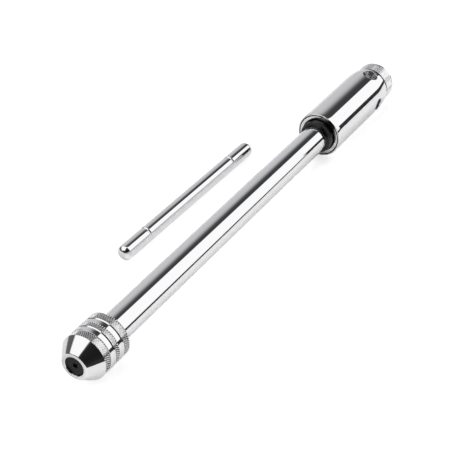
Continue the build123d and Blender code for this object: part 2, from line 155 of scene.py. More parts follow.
nose_side = put(tree, "ShaderNodeMapRange", {"interpolation_type": "SMOOTHSTEP"},
                {"From Min": OPEN_END_STARTS[0], "From Max": OPEN_END_STARTS[1]}, {"Value": (split, "X")})
all_round = put(tree, "ShaderNodeMix", {"data_type": "RGBA"},
                links={0: (nose_side, 0), 6: (head_side, 2), 7: (open_end, 0)})
ray = put(tree, "ShaderNodeLightPath")
behind_lens = put(tree, "ShaderNodeMapRange", {"interpolation_type": "SMOOTHSTEP"},
                  {"From Min": BEHIND_LENS[0], "From Max": BEHIND_LENS[1]}, {"Value": (split, "X")})
lens_hole = put(tree, "ShaderNodeMath", {"operation": "MULTIPLY"},
                links={0: (behind_lens, 0), 1: (ray, "Is Glossy Ray")})
with_hole = put(tree, "ShaderNodeMix", {"data_type": "RGBA"}, {7: (*[BEHIND_LENS_LEVEL] * 3, 1.0)},
                {0: (lens_hole, 0), 6: (all_round, 2)})
tent = put(tree, "ShaderNodeBackground", inputs={"Strength": 1.0}, links={"Color": (with_hole, 2)})
backdrop = put(tree, "ShaderNodeBackground", inputs={"Color": (1, 1, 1, 1), "Strength": 1.0})
seen = put(tree, "ShaderNodeMixShader", links={0: (ray, "Is Camera Ray"), 1: (tent, 0), 2: (backdrop, 0)})
put(tree, "ShaderNodeOutputWorld", links={"Surface": (seen, 0)})


# Table. A matt white sheet under the wrench, so wide that its edge never shows, and lit more for
# the camera, which keeps it as white as the photograph's ground. Chrome sees it greyer, with painted
# light and shade in bands across it, a painted glow beside the bar, and painted black beyond a
# slanted line on the near side. Its places are in metres.
TABLE_HALF = 3.0
CAMERA_LIFT = 0.66
SHEET_EDGE = 0.049
SHEET_SLANT = 0.22
SHEET_START = -0.014
SHEET_SOFT = 0.004
POOL_SPAN = 0.4
# Painted light and shade, seen only in reflections: (place across the table, grey level) pairs.
PAINTED_POOL = (
    (-0.050, 0.66), (-0.013, 0.72), (-0.006, 0.76), (0.0, 0.70), (0.003, 0.48), (0.020, 0.26),
    (0.050, 0.50), (0.120, 0.40), (0.190, 0.32),
)
# A painted glow beside the bar, seen only in reflections.
PAINTED_GLOW_BY_BAR = ((0.018, 0.0), (0.022, 0.22), (0.027, 0.26), (0.029, 0.0))
BLACK = (0.03, 0.03, 0.03, 1.0)
table_z = cad_box[0][2]


def linear(hex_colour):
    """An sRGB hex colour as linear red, green, blue and full alpha."""
    parts = [int(hex_colour[i:i + 2], 16) / 255 for i in (1, 3, 5)]
    return (*(c / 12.92 if c <= 0.04045 else ((c + 0.055) / 1.055) ** 2.4 for c in parts), 1.0)


def studio_sheet(name, corners, material):
    """A flat four-sided sheet of the studio."""
    sheet = bpy.data.meshes.new(name)
    sheet.from_pydata(corners, [], [(0, 1, 2, 3)])
    sheet.materials.append(material)
    sheet_object = bpy.data.objects.new(name, sheet)
    bpy.context.collection.objects.link(sheet_object)


matt_sheet = bpy.data.materials.new("matt_white_sheet")
tree = emptied(matt_sheet)
ray = put(tree, "ShaderNodeLightPath")
spot = put(tree, "ShaderNodeTexCoord")
split = put(tree, "ShaderNodeSeparateXYZ", links={0: (spot, "Object")})
across = put(tree, "ShaderNodeMapRange", inputs={"From Min": -POOL_SPAN / 2, "From Max": POOL_SPAN / 2},
             links={"Value": (split, "Y")})
painted_pool = put(tree, "ShaderNodeValToRGB", links={0: (across, 0)}, stops=grey_stops(PAINTED_POOL, POOL_SPAN))
painted_glow_strip = put(tree, "ShaderNodeValToRGB", links={0: (across, 0)}, stops=grey_stops(PAINTED_GLOW_BY_BAR, POOL_SPAN))
white = put(tree, "ShaderNodeBsdfDiffuse", inputs={"Color": linear("#F4F4F4")})
lift = put(tree, "ShaderNodeEmission", inputs={"Color": (1, 1, 1, 1), "Strength": CAMERA_LIFT})
mirrored = put(tree, "ShaderNodeBsdfDiffuse", links={"Color": (painted_pool, 0)})
# Painted glow beside the bar, for reflections only.
painted_glow_by_bar = put(tree, "ShaderNodeEmission", links={"Color": (painted_glow_strip, 0)})
for_chrome = put(tree, "ShaderNodeAddShader", links={0: (mirrored, 0), 1: (painted_glow_by_bar, 0)})
nothing = put(tree, "ShaderNodeEmission", inputs={"Strength": 0.0})
for_camera = put(tree, "ShaderNodeMixShader",
                 links={0: (ray, "Is Camera Ray"), 1: (nothing, 0), 2: (lift, 0)})
glow = put(tree, "ShaderNodeMixShader",
           links={0: (ray, "Is Glossy Ray"), 1: (for_camera, 0), 2: (for_chrome, 0)})
both = put(tree, "ShaderNodeAddShader", links={0: (white, 0), 1: (glow, 0)})
line = put(tree, "ShaderNodeMath", {"operation": "MULTIPLY_ADD"}, {1: SHEET_SLANT},
           {0: (split, "X"), 2: (split, "Y")})
dark_from = SHEET_SLANT * SHEET_START - SHEET_EDGE
beyond = put(tree, "ShaderNodeMapRange", {"interpolation_type": "SMOOTHSTEP"},
             {"From Min": dark_from + SHEET_SOFT, "From Max": dark_from - SHEET_SOFT},
             {"Value": (line, 0)})
dark = put(tree, "ShaderNodeMath", {"operation": "MULTIPLY"},
           links={0: (beyond, 0), 1: (ray, "Is Glossy Ray")})
# Painted black, seen only in reflections, beyond the slanted line.
painted_black_beyond = put(tree, "ShaderNodeEmission", inputs={"Color": BLACK, "Strength": 1.0})
whole = put(tree, "ShaderNodeMixShader", links={0: (dark, 0), 1: (both, 0), 2: (painted_black_beyond, 0)})
put(tree, "ShaderNodeOutputMaterial", links={"Surface": (whole, 0)})
studio_sheet("table", [(x * TABLE_HALF, y * TABLE_HALF, table_z)
                       for x, y in ((-1, -1), (1, -1), (1, 1), (-1, 1))], matt_sheet)


# Flag. A black card that stands on the table to the right of the head, outside the picture.
# Only reflections see it: it draws the dark line along the near side of the head.
FLAG_X = (0.382, 0.900)
FLAG_Y = -0.165
FLAG_TOP = 0.0435
card = bpy.data.materials.new("black_card")
tree = emptied(card)
ray = put(tree, "ShaderNodeLightPath")
clear = put(tree, "ShaderNodeBsdfTransparent")
black = put(tree, "ShaderNodeEmission", inputs={"Color": BLACK, "Strength": 1.0})
shown = put(tree, "ShaderNodeMixShader", links={0: (ray, "Is Glossy Ray"), 1: (clear, 0), 2: (black, 0)})
put(tree, "ShaderNodeOutputMaterial", links={"Surface": (shown, 0)})
studio_sheet("black_flag", [(FLAG_X[0], FLAG_Y, table_z), (FLAG_X[1], FLAG_Y, table_z),
                            (FLAG_X[1], FLAG_Y, FLAG_TOP), (FLAG_X[0], FLAG_Y, FLAG_TOP)], card)


# Spindle. One long steel bar, turned, polished and chromed, that carries the jaws at the front
# and the ratchet wheel at the back. Only the plain shaft shows; the slotted end is in the cap.
SHAFT_RADIUS = 6.25
SHAFT_EDGE = 0.15
PRONG_FRONT = 6.0
PRONG_BEVEL = 0.6
PRONG_AROUND = 33
THREAD_RADIUS = 6.0
THREAD_PITCH = 1.25
THREAD_DEPTH = 0.55
THREAD_REAR = 14.6
RELIEF_RADIUS = 5.5
RELIEF_FRONT = 15.3
RELIEF_SLOPE = 0.2
RELIEF_REAR = 21.5
SLOT_WIDTH = 6.4
SLOT_END = 17.0
WHEEL_SEAT_RADIUS = 5.0
WHEEL_SEAT = (206.0, 216.0)
PILOT_RADIUS = 4.0
PILOT_REAR = 222.0
JAW_ANGLE = 47.0
AROUND = 192
MERGE = 0.001
CORNER_SHARE = 0.45


def mesh_piece(name, points, faces, body, node, smooth_angle=30.0):
    """Makes a piece from points in millimetres and faces of any number of sides, and seats it in
    the frame: it rides on the body and stands for the CAD node. Faces that meet at more than the
    smooth angle, in degrees, keep a sharp edge."""
    mesh = bpy.data.meshes.new(name)
    mesh.from_pydata((np.asarray(points) * MM).tolist(), [], faces)
    merged = bmesh.new()
    merged.from_mesh(mesh)
    bmesh.ops.remove_doubles(merged, verts=merged.verts, dist=MERGE * MM)
    bmesh.ops.recalc_face_normals(merged, faces=merged.faces)
    merged.to_mesh(mesh)
    merged.free()
    mesh.polygons.foreach_set("use_smooth", np.ones(len(mesh.polygons), bool))
    mesh.set_sharp_from_angle(angle=math.radians(smooth_angle))
    piece = bpy.data.objects.new(name, mesh)
    bpy.context.collection.objects.link(piece)
    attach(piece, body)
    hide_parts(node)
    return piece


def grid_faces(rows, columns, start=0):
    """Quads of a grid of points stored row by row, the last column joined to the first."""
    row, column = np.meshgrid(np.arange(rows - 1), np.arange(columns), indexing="ij")
    a = row * columns + column
    b = row * columns + (column + 1) % columns
    return (np.stack([a, b, b + columns, a + columns], axis=-1).reshape(-1, 4) + start).tolist()


def prism_faces(rows, columns, start=0):
    """Quads between sections stored row by row, and one many-sided face over each end."""
    first, last = np.arange(columns) + start, np.arange(columns) + start + columns * (rows - 1)
    return grid_faces(rows, columns, start) + [first.tolist(), last.tolist()]


def rounded(outline, radius, steps=6):
    """An outline of (station, radius) points with its corners rounded: each corner becomes a
    circular arc, whose tangents are as long as its radius asks for but no longer than a share
    of the shorter side. Each arc's points are spread evenly over its angle."""
    outline = np.asarray(outline, float)
    radius = np.broadcast_to(radius, len(outline))
    made = [outline[0]]
    for before, corner, after, want in zip(outline[:-2], outline[1:-1], outline[2:], radius[1:-1]):
        into, away = before - corner, after - corner
        room = CORNER_SHARE * min(np.linalg.norm(into), np.linalg.norm(away))
        into, away = into / np.linalg.norm(into), away / np.linalg.norm(away)
        half = math.acos(float(np.clip(-into @ away, -1, 1))) / 2
        if want <= 0 or half < 0.01:
            made.append(corner)
            continue
        tangent = min(want * math.tan(half), room)
        bend = tangent / math.tan(half)
        centre = corner + (into + away) / np.linalg.norm(into + away) * bend / math.cos(half)
        first, last = corner + into * tangent - centre, corner + away * tangent - centre
        turn = np.linspace(0, 1, steps + 1)[:, None]
        spread = 2 * half
        arc = (np.sin((1 - turn) * spread) * first + np.sin(turn * spread) * last) / math.sin(spread)
        made.extend(centre + arc)
    made.append(outline[-1])
    return np.array(made)


def lathe(outline, around=AROUND):
    """Surface of revolution about X. Point (i, j) is (x_i, r_i sin a_j, r_i cos a_j); the
    outline runs from axis to axis or back to its own start, so the surface is closed."""
    outline = np.asarray(outline, float)
    angles = np.linspace(0, 2 * np.pi, around, endpoint=False)
    y = outline[:, 1:2] * np.sin(angles)
    z = outline[:, 1:2] * np.cos(angles)
    x = np.broadcast_to(outline[:, 0:1], y.shape)
    return np.stack([x, y, z], axis=-1).reshape(-1, 3), grid_faces(len(outline), around)


def turned(points, degrees):
    """Points turned about X, so that what stood on top comes to this angle from the top towards
    the far side: y cos + z sin, z cos - y sin."""
    spin = math.radians(degrees)
    x, y, z = np.asarray(points, float).T
    return np.stack([x, y * math.cos(spin) + z * math.sin(spin),
                     z * math.cos(spin) - y * math.sin(spin)], axis=-1)


# Chrome plate on buffed steel. The eye sees a mirror that softens the edges of what it reflects a
# little. The buffing wheel's hairlines are drawn about a hundred times coarser, so that they show.
CHROME_HAZE = 0.045
HAIRLINE = 1.1
HAIRLINE_LENGTH = 25.0
BUFFING_CLOUD = 16.5


def chrome(name, haze=CHROME_HAZE, hairline=HAIRLINE):
    """Bright nickel-chrome plate on buffed steel. The roughness runs from half the haze to 1.6
    times it, in hairlines along X, spaced in millimetres, that fade in and out in clouds."""
    material = bpy.data.materials.new(name)
    material.use_nodes = True
    tree = material.node_tree
    shader = tree.nodes["Principled BSDF"]
    shader.inputs["Base Color"].default_value = linear("#EEEEEF")
    shader.inputs["Metallic"].default_value = 1.0
    place = put(tree, "ShaderNodeTexCoord")
    spacing = (1 / (HAIRLINE_LENGTH * MM), 1 / (hairline * MM), 1 / (hairline * MM))
    buff = put(tree, "ShaderNodeMapping", inputs={"Scale": spacing}, links={"Vector": (place, "Object")})
    hairlines = put(tree, "ShaderNodeTexNoise", inputs={"Scale": 1.0, "Detail": 3.0},
                    links={"Vector": (buff, 0)})
    cloud = put(tree, "ShaderNodeTexNoise", inputs={"Scale": 1 / (BUFFING_CLOUD * MM), "Detail": 2.0},
                links={"Vector": (place, "Object")})
    mixed = put(tree, "ShaderNodeMath", {"operation": "MULTIPLY"},
                links={0: (hairlines, 0), 1: (cloud, 0)})
    level = put(tree, "ShaderNodeMapRange",
                inputs={"From Min": 0.15, "From Max": 0.45, "To Min": haze * 0.5, "To Max": haze * 1.6},
                links={"Value": (mixed, 0)})
    tree.links.new(level.outputs[0], shader.inputs["Roughness"])
    return material


polished_chrome = chrome("polished_chrome_plate")


def thread(start, end, radius, depth, pitch):
    """Outline of V threads, drawn as rings: a crest at the radius once every pitch, and a root
    lower by the depth half way between two crests."""
    turns = np.arange(2 * int((end - start) / pitch) + 1)
    return np.stack([start + turns * pitch / 2, radius - depth * (turns % 2)], axis=-1)


def slotted_end():
    """The two prongs either side of the jaw slot. Each section is a segment of a circle: its arc
    runs over the angles a at which radius cos a stays past the slot's wall, and the wall closes
    it. The radius follows the thread's outline along X."""
    station, radius = np.vstack([
        [(PRONG_FRONT, THREAD_RADIUS - PRONG_BEVEL)],
        thread(PRONG_FRONT + PRONG_BEVEL, THREAD_REAR, THREAD_RADIUS, THREAD_DEPTH, THREAD_PITCH),
        [(RELIEF_FRONT - RELIEF_SLOPE, THREAD_RADIUS), (RELIEF_FRONT, RELIEF_RADIUS),
         (SLOT_END, RELIEF_RADIUS)],
    ]).T[:, :, None]
    arc = np.arccos(SLOT_WIDTH / 2 / radius) * np.linspace(-1, 1, PRONG_AROUND)
    prongs = [np.stack(np.broadcast_arrays(station, side * radius * np.cos(arc), radius * np.sin(arc)),
                       axis=-1).reshape(-1, 3) for side in (-1, 1)]
    faces = [face for start in (0, arc.size) for face in prism_faces(len(station), PRONG_AROUND, start)]
    return turned(np.vstack(prongs), JAW_ANGLE), faces


shaft_points, shaft_faces = lathe(rounded(
    [(SLOT_END, 0), (SLOT_END, RELIEF_RADIUS), (RELIEF_REAR, RELIEF_RADIUS), (RELIEF_REAR, SHAFT_RADIUS),
     (WHEEL_SEAT[0], SHAFT_RADIUS), (WHEEL_SEAT[0], WHEEL_SEAT_RADIUS),
     (WHEEL_SEAT[1], WHEEL_SEAT_RADIUS), (WHEEL_SEAT[1], PILOT_RADIUS),
     (PILOT_REAR, PILOT_RADIUS), (PILOT_REAR, 0)],
    SHAFT_EDGE,
))
prong_points, prong_faces = slotted_end()
spindle = mesh_piece(
    "spindle_bar", np.vstack([shaft_points, prong_points]),
    shaft_faces + [[i + len(shaft_points) for i in face] for face in prong_faces],
    "spindle", "spindle",
)
spindle.data.materials.append(polished_chrome)


# Ratchet wheel, its pin, and the small hard parts of the head. They are tool steel, hardened,
# ground and oiled, the springs and rings are drawn wire, and all of them are shut inside.
GRIND_STRETCH = 20
DULL = 0.8


def worked(name, own, grain, detail, tones, roughness, relief):
    """A surface whose making left fine marks. Own holds the shader's plain values, and grain the
    marks' size along X, Y and Z in millimetres. The two tones, the low and high roughness, and
    the relief, as strength and depth in millimetres, all follow the marks."""
    material = bpy.data.materials.new(name)
    material.use_nodes = True
    tree = material.node_tree
    shader = tree.nodes["Principled BSDF"]
    for key, value in own.items():
        shader.inputs[key].default_value = value
    place = put(tree, "ShaderNodeTexCoord")
    sized = put(tree, "ShaderNodeMapping", inputs={"Scale": [1 / (size * MM) for size in grain]},
                links={"Vector": (place, "Object")})
    marks = put(tree, "ShaderNodeTexNoise", inputs={"Scale": 1.0, "Detail": detail},
                links={"Vector": (sized, 0)})
    tone = put(tree, "ShaderNodeValToRGB", links={0: (marks, 0)}, stops=list(enumerate(tones)))
    rough = put(tree, "ShaderNodeMapRange", inputs={"To Min": roughness[0], "To Max": roughness[1]},
                links={"Value": (marks, 0)})
    bump = put(tree, "ShaderNodeBump", inputs={"Strength": relief[0], "Distance": relief[1] * MM},
               links={"Height": (marks, 0)})
    for source, socket in ((tone, "Base Color"), (rough, "Roughness"), (bump, "Normal")):
        tree.links.new(source.outputs[0], shader.inputs[socket])
    return material


def ground_steel(name, colour, grind=0.7):
    """Bare steel with the cross lines that a grinding wheel or a turning tool leaves, which break
    the highlights up. Grind is their spacing in millimetres, coarser than real so that it shows."""
    bright = linear(colour)
    dull = (*(DULL * c for c in bright[:3]), 1.0)
    grain = (grind, GRIND_STRETCH * grind, GRIND_STRETCH * grind)
    return worked(name, {"Metallic": 1.0}, grain, 4.0, (dull, bright), (0.22, 0.38), (0.25, 0.02))


def finish_nodes(names, material):
    """Gives carried-over CAD nodes their material."""
    for name in names:
        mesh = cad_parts[name].data
        mesh.materials.clear()
        mesh.materials.append(material)


finish_nodes(
    ("ratchet_wheel", "wheel_pin", "pawl_right", "pawl_left", "selector_ball", "detent_ball",
     "detent_plug", "thrust_washer"),
    ground_steel("hardened_ground_steel", "#B4B4B6"),
)
finish_nodes(("cam_ring",), ground_steel("turned_free_cutting_steel", "#C2C1BE", 1.1))
finish_nodes(
    ("cap_stop_ring", "selector_snap_ring", "jaw_spring_a", "jaw_spring_b", "pawl_spring_right",
     "pawl_spring_left", "selector_spring", "detent_spring"),
    ground_steel("drawn_spring_wire", "#8C8B8A", 0.4),
)


# Jaws. Two half cones with flat tails, milled from steel, hardened and blackened. A V notch down
# the middle of each makes the square that grips the tap.
JAW_RECESS = 0.7
JAW_FRONT_RADIUS = 4.07
JAW_RADIUS = 5.9
JAW_SLOPE = math.tan(math.radians(30.0))
JAW_SQUARE = 1.8
JAW_HALF_SPLIT = 0.05
JAW_HEAD_END = 5.9
JAW_LAP = 0.1
JAW_TAIL_END = 15.1
JAW_TAIL_HALF_WIDTH = 3.1
JAW_TAIL_DEPTH = 2.192
JAW_EDGE = 0.12
JAW_AROUND = 41
OXIDE_CLOUD = 1.1


def jaw_section(station, radius, grow=0.0, half_width=np.inf, top=np.inf):
    """One section of a jaw, with z along its travel: the V notch's floor, the split face, the
    arc of the given radius held inside half_width and below top, and back to the notch."""
    floor_z = JAW_SQUARE / math.sqrt(2) + grow
    lip = floor_z - JAW_HALF_SPLIT
    reach = math.acos(JAW_HALF_SPLIT / radius)
    arc = np.linspace(reach, -reach, JAW_AROUND)
    t = np.clip(radius * np.sin(arc), -half_width, half_width)
    z = np.clip(radius * np.cos(arc), JAW_HALF_SPLIT, top)
    t = np.concatenate([[0.0, lip], t, [-lip]])
    z = np.concatenate([[floor_z, JAW_HALF_SPLIT], z, [JAW_HALF_SPLIT]])
    return np.stack([np.full(len(t), station), t, z], axis=-1)


def jaw(angle):
    """A jaw's cone and tail, each a row of sections along X closed by its ends. The tail's circle
    is so wide that only its width and depth show, and the tail starts a lap inside the cone."""
    cone_end = JAW_RECESS + (JAW_RADIUS - JAW_FRONT_RADIUS) / JAW_SLOPE
    cone = [jaw_section(JAW_RECESS, JAW_FRONT_RADIUS - JAW_EDGE, JAW_EDGE),
            jaw_section(JAW_RECESS + JAW_EDGE, JAW_FRONT_RADIUS),
            jaw_section(cone_end, JAW_RADIUS), jaw_section(JAW_HEAD_END, JAW_RADIUS)]
    tail = [jaw_section(x, 3 * JAW_TAIL_HALF_WIDTH, 0.0, JAW_TAIL_HALF_WIDTH, JAW_TAIL_DEPTH)
            for x in (JAW_HEAD_END - JAW_LAP, JAW_TAIL_END)]
    columns = len(cone[0])
    faces = prism_faces(len(cone), columns) + prism_faces(len(tail), columns, len(cone) * columns)
    return turned(np.vstack(cone + tail), angle), faces


# Black oxide. Steel blackened in a hot salt bath looks near black, with a low satin shine that
# the bath's faint clouding breaks up.
blackened_steel = worked(
    "black_oxide_steel", {"Metallic": 0.55}, (OXIDE_CLOUD,) * 3, 4.0,
    (linear("#131315"), linear("#242528")), (0.30, 0.46), (0.3, 0.03),
)
for letter, angle in (("a", JAW_ANGLE), ("b", JAW_ANGLE + 180)):
    jaw_piece = mesh_piece(f"blackened_jaw_{letter}", *jaw(angle), f"jaw_{letter}", f"jaw_{letter}")
    jaw_piece.data.materials.append(blackened_steel)


# Nose cap. Turned from steel bar, threaded inside, knurled in three bands, then polished and
# chromed. The cone is bare and bright, and a smooth land is left in front of each groove.
CAP_LENGTH = 22.0
CAP_RADIUS = 9.886
CAP_BORE = 4.17
CAP_BORE_LIP = 0.75
CAP_REAR_BEVEL = 0.4
CAP_REAR_BORE = 6.3
CAP_THREAD = (11.2, 15.9)
CAP_THREAD_RADIUS = 6.05
CAVITY_FRONT = 8.9
CAVITY_REAR = 11.1
CAVITY_RADIUS = 8.88
RING_FRONT = 20.25
RING_REAR = 21.35
RING_RADIUS = 7.0
CAP_CORNERS = 0.15
CONE_START = 1.1
CONE_END = 6.2
CONE_BULGE = 0.12
CONE_STEPS = 14
NOSE_CORNER = 5.63
NOSE_ROUND = 0.95
NOSE_BORE_ROUND = 0.28
GROOVES = (12.3, 17.6)
GROOVE_FRONT = 0.34
GROOVE_REAR = 0.42
GROOVE_DEPTH = 0.36
BAND_GAP = 0.03
BAND_REARS = (9.9, 15.3, CAP_LENGTH - 0.45)
KNURL_PITCH = 0.94
KNURL_DEPTH = 0.42
KNURL_FLAT = 0.1
KNURL_STEPS = 8
KNURL_FADE = 0.25
KNURL_INSIDE = 0.75
band_fronts = (CONE_END + 0.05, *(groove + GROOVE_REAR + BAND_GAP for groove in GROOVES))
cap_bands = tuple(zip(band_fronts, BAND_REARS))


def knurled(outline, bands, pitch, depth):
    """Surface of revolution with diamond knurls. Two families of V cuts wind round it with equal
    and opposite lead, each a triangle wave of (diamonds a / 2 pi +- x / pitch), and the radius
    falls by the deeper of the two cuts. Each diamond keeps a small flat top, and the cuts run
    out at each band's ends."""
    outline = np.asarray(outline, float)
    outer = outline[:, 1].max()
    diamonds = int(round(2 * math.pi * outer / pitch))
    columns = diamonds * KNURL_STEPS
    points, faces = lathe(outline, columns)
    points = points.reshape(len(outline), columns, 3)
    angles = np.linspace(0, 2 * np.pi, columns, endpoint=False)
    turn = angles * diamonds / (2 * np.pi)
    x, radius = outline[:, :1], outline[:, 1:]
    for start, end in bands:
        on = ((x >= start) & (x <= end) & (radius > KNURL_INSIDE * outer))[:, 0]
        run = (x[on] - start) * diamonds / (2 * np.pi * outer)
        cuts = [np.abs(2 * ((turn + way * run) % 1.0) - 1.0) for way in (-1, 1)]
        cut = np.clip((np.maximum(*cuts) - KNURL_FLAT) / (1 - KNURL_FLAT), 0, 1)
        grip = np.clip(np.minimum(x[on] - start, end - x[on]) / KNURL_FADE, 0, 1)
        lowered = radius[on] - depth * cut * grip
        points[on, :, 1] = lowered * np.sin(angles)
        points[on, :, 2] = lowered * np.cos(angles)
    return points.reshape(-1, 3), faces


def band_rows(band, radius, pitch):
    """Outline points along a knurled band, about an eighth of a diamond apart."""
    count = max(2, int(round((band[1] - band[0]) * KNURL_STEPS / pitch)) + 1)
    return [(x, radius) for x in np.linspace(*band, count)]


def cap_outline():
    """The nose cap's closed outline: nose face, cone that bulges by a parabola, bands, grooves
    with an upright front wall, a flat floor and a slanted rear wall, rear edge, then back
    through the ring groove, the thread, the cavity and the inner cone."""
    x = np.linspace(CONE_START, CONE_END, CONE_STEPS)
    share = x / CONE_END
    bulge = 4 * CONE_BULGE * share * (1 - share)
    cone = np.stack([x, NOSE_CORNER + (CAP_RADIUS - NOSE_CORNER) * share + bulge], axis=-1)
    made = [rounded([(CAP_BORE_LIP, CAP_BORE), (0.0, CAP_BORE + 0.02), (0.0, NOSE_CORNER), cone[0]],
                    [0, NOSE_BORE_ROUND, NOSE_ROUND, 0], steps=10), cone[1:]]
    floor = CAP_RADIUS - GROOVE_DEPTH
    grooves = [[(at - GROOVE_FRONT, CAP_RADIUS), (at - GROOVE_FRONT + 0.04, floor),
                (at + GROOVE_REAR - GROOVE_DEPTH, floor), (at + GROOVE_REAR, CAP_RADIUS)]
               for at in GROOVES]
    bands = [band_rows(band, CAP_RADIUS, KNURL_PITCH) for band in cap_bands]
    made += [bands[0], grooves[0], bands[1], grooves[1], bands[2]]
    made.append(rounded(
        [(CAP_LENGTH - CAP_REAR_BEVEL - 0.04, CAP_RADIUS), (CAP_LENGTH - CAP_REAR_BEVEL, CAP_RADIUS),
         (CAP_LENGTH, CAP_RADIUS - CAP_REAR_BEVEL), (CAP_LENGTH, CAP_REAR_BORE),
         (RING_REAR, CAP_REAR_BORE), (RING_REAR, RING_RADIUS), (RING_FRONT, RING_RADIUS),
         (RING_FRONT, CAP_REAR_BORE), (CAP_THREAD[1] + 0.1, CAP_REAR_BORE)],
        [0, CAP_CORNERS, CAP_CORNERS, 0.1, 0, 0, 0, 0, 0]))
    made.append(thread(*CAP_THREAD, CAP_THREAD_RADIUS + THREAD_DEPTH, THREAD_DEPTH, THREAD_PITCH)[::-1])
    made.append([(CAVITY_REAR, CAP_THREAD_RADIUS), (CAVITY_REAR, CAVITY_RADIUS),
                 (CAVITY_FRONT, CAVITY_RADIUS), (CAP_BORE_LIP, CAP_BORE)])
    return np.vstack(made)


nose_cap = mesh_piece(
    "knurled_nose_cap", *knurled(cap_outline(), cap_bands, KNURL_PITCH, KNURL_DEPTH),
    "nose_cap", "chuck_cap", smooth_angle=22.0,
)
nose_cap.data.materials.append(polished_chrome)


# Front bush. Black moulded nylon, pressed into the head. Its collar stands out of the sleeve
# round the shaft, with a soft round on its edge. Its outline starts a little inside the bore.
BUSH_BORE = 6.3
BUSH_COLLAR = 7.6
BUSH_BODY = 9.18
BUSH_FRONT = 187.0
BUSH_REAR = 205.0
BUSH_ROUND = 0.6
LIP_REAR = 192.4
LIP_GAP = 0.05
MOULD_PEEL = 0.67
SEAM = 0.6
bush_outline = rounded(
    [(BUSH_FRONT + SEAM, BUSH_BORE), (BUSH_FRONT, BUSH_BORE), (BUSH_FRONT, BUSH_COLLAR),
     (LIP_REAR + LIP_GAP, BUSH_COLLAR), (LIP_REAR + LIP_GAP, BUSH_BODY), (BUSH_REAR, BUSH_BODY),
     (BUSH_REAR, BUSH_BORE), (BUSH_FRONT + SEAM, BUSH_BORE)],
    [0, 0.12, BUSH_ROUND, 0.1, 0.15, 0.15, 0.1, 0],
)
# Nylon. Moulded and satin, so the eye sees black with a soft sheen, which the faint orange peel
# of the mould breaks up.
black_nylon = worked(
    "black_moulded_nylon", {"IOR": 1.53}, (MOULD_PEEL,) * 3, 2.0,
    (linear("#08090A"), linear("#121315")), (0.25, 0.36), (0.15, 0.03),
)
bush = mesh_piece("nylon_front_bush", *lathe(bush_outline), "head", "front_bush")
bush.data.materials.append(black_nylon)


# Head sleeve. A chromed steel tube, pressed over the core and cross drilled with it for the bar.
# Its rear closes in an arc, the bores' mouths are rolled over and buffed, and the joints at its
# rim and its rear edge are painted dark, as the shade in these gaps.
SLEEVE_FRONT = 190.4
SLEEVE_REAR = 242.2
SLEEVE_RADIUS = 10.5
SLEEVE_REAR_RADIUS = 9.7
SLEEVE_BORE = 9.2
SLEEVE_LIP_BORE = 8.2
SLEEVE_TAPER = 233.0
SLEEVE_EDGE = 0.6
REAR_ROUND = 0.45
REAR_STEPS = 11
RIM_LENGTH = 3.0
PLAIN_PART = (196.0, 226.0)
PLAIN_STEPS = 16
RIM_LINE = 9.45
RIM_LINE_WIDTH = 0.52
RIM_LINE_DEPTH = 0.3
RIM_LINE_EDGE = 0.03
BAR_BORE = 3.5
# Each bore's station, its angle from the top, and the round of its mouth.
UPPER_BORE = (237.4, -15.0, 0.22)
LOWER_BORE = (232.5, -105.0, 0.75)
PASSING_RINGS = 13
ROLL_RINGS = 9
WINDOW_HALF = 4.3
WINDOW_ANGLE = 36.0
WINDOW_STEP = 0.42
BORED_AROUND = 240
NEAR = 0.01
taper_radius = ((SLEEVE_REAR - SLEEVE_TAPER) ** 2 + (SLEEVE_RADIUS - SLEEVE_REAR_RADIUS) ** 2) / (
    2 * (SLEEVE_RADIUS - SLEEVE_REAR_RADIUS))


def window_stations():
    """Stations through both bores' windows, evenly spaced between the windows' edges."""
    edges = sorted(bore[0] + side * WINDOW_HALF for bore in (UPPER_BORE, LOWER_BORE) for side in (-1, 1))
    between = [np.linspace(start, end, int((end - start) / WINDOW_STEP) + 1)[1:]
               for start, end in zip(edges[:-1], edges[1:])]
    return np.concatenate([edges[:1], *between])


def sleeve_radius_at(x):
    """Outer radius: plain tube, a circular arc that closes towards the selector, rounded edge."""
    past = np.maximum(0.0, x - SLEEVE_TAPER)
    edge = np.clip(x - SLEEVE_REAR + REAR_ROUND, 0.0, REAR_ROUND)
    return (SLEEVE_RADIUS - (taper_radius - np.sqrt(taper_radius**2 - past**2))
            - (REAR_ROUND - np.sqrt(REAR_ROUND**2 - edge**2)))


def sleeve_outline():
    """The sleeve's closed outline: front rim with the joint's narrow groove, plain part, the
    stations of the bores, rounded rear edge, then back along the bore to the front lip."""
    rim_end = RIM_LINE + RIM_LINE_WIDTH
    start = (SLEEVE_FRONT + SEAM, SLEEVE_LIP_BORE)
    rim = rounded(
        [start, (SLEEVE_FRONT, SLEEVE_LIP_BORE), (SLEEVE_FRONT, RIM_LINE),
         (SLEEVE_FRONT + RIM_LINE_DEPTH, RIM_LINE), (SLEEVE_FRONT + RIM_LINE_DEPTH, rim_end),
         (SLEEVE_FRONT, rim_end), (SLEEVE_FRONT, SLEEVE_RADIUS),
         (SLEEVE_FRONT + RIM_LENGTH, SLEEVE_RADIUS)],
        [0, 0.1, RIM_LINE_EDGE, RIM_LINE_EDGE, RIM_LINE_EDGE, RIM_LINE_EDGE, SLEEVE_EDGE, 0])
    edge = SLEEVE_REAR - REAR_ROUND * np.cos(np.linspace(0, np.pi / 2, REAR_STEPS))
    x = np.concatenate([np.linspace(*PLAIN_PART, PLAIN_STEPS), window_stations(), edge])
    inside = [(x, SLEEVE_BORE) for x in window_stations()[::-1]]
    return np.vstack([
        rim, np.stack([x, sleeve_radius_at(x)], axis=-1), [(SLEEVE_REAR, SLEEVE_BORE)], inside,
        [(LIP_REAR, SLEEVE_BORE), (LIP_REAR, SLEEVE_LIP_BORE), start]])


